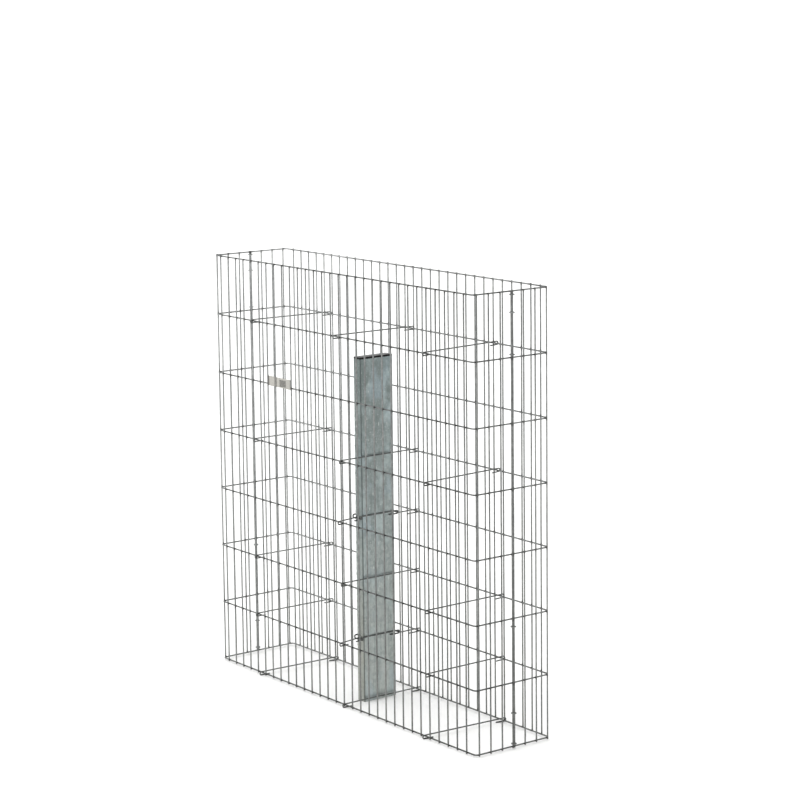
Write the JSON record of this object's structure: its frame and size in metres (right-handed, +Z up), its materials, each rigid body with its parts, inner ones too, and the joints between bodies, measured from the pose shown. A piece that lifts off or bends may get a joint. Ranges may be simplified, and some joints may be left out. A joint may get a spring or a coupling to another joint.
{
  "type": "gabion wall",
  "caption": "Free-standing cage of welded wire mesh for a stone-filled wall, with hooked wire spacers and a rectangular steel post tied upright in its middle.",
  "frame": {"origin": "under the middle of the cage, at the lower ends of the upright wires", "axes": "+X along the wall, +Y from its front (the side with the tag plate) to its back, +Z up"},
  "size_m": [1.1786, 0.268, 1.1784],
  "materials": {
    "mesh_wire": "hot-dip galvanised wire, dull mid grey",
    "spacer_wire": "galvanised wire, darker grey",
    "post_steel": "hot-dip galvanised, soft spangle, dull",
    "cap_plastic": "black, fine moulded grain",
    "tag_plastic": "pale grey, blank"
  },
  "bodies": {
    "root": {"front_side": "mesh_wire", "front_left_return": "mesh_wire", "front_right_return": "mesh_wire", "back_side": "mesh_wire", "back_left_return": "mesh_wire", "back_right_return": "mesh_wire", "seam_clips_left": "spacer_wire", "seam_clips_right": "spacer_wire", "spacer_left_1": "spacer_wire", "spacer_left_2": "spacer_wire", "spacer_left_3": "spacer_wire", "spacer_left_4": "spacer_wire", "spacer_left_5": "spacer_wire", "spacer_middle_1": "spacer_wire", "spacer_middle_2": "spacer_wire", "spacer_middle_3": "spacer_wire", "spacer_middle_4": "spacer_wire", "spacer_right_1": "spacer_wire", "spacer_right_2": "spacer_wire", "spacer_right_3": "spacer_wire", "spacer_right_4": "spacer_wire", "spacer_right_5": "spacer_wire", "post_strap_upper": "spacer_wire", "post_strap_lower": "spacer_wire", "front_link_upper": "spacer_wire", "front_link_lower": "spacer_wire", "back_link_upper": "spacer_wire", "back_link_lower": "spacer_wire", "post": "post_steel", "post_cap": "cap_plastic", "tag_plate": "tag_plastic"}
  },
  "joints": []
}
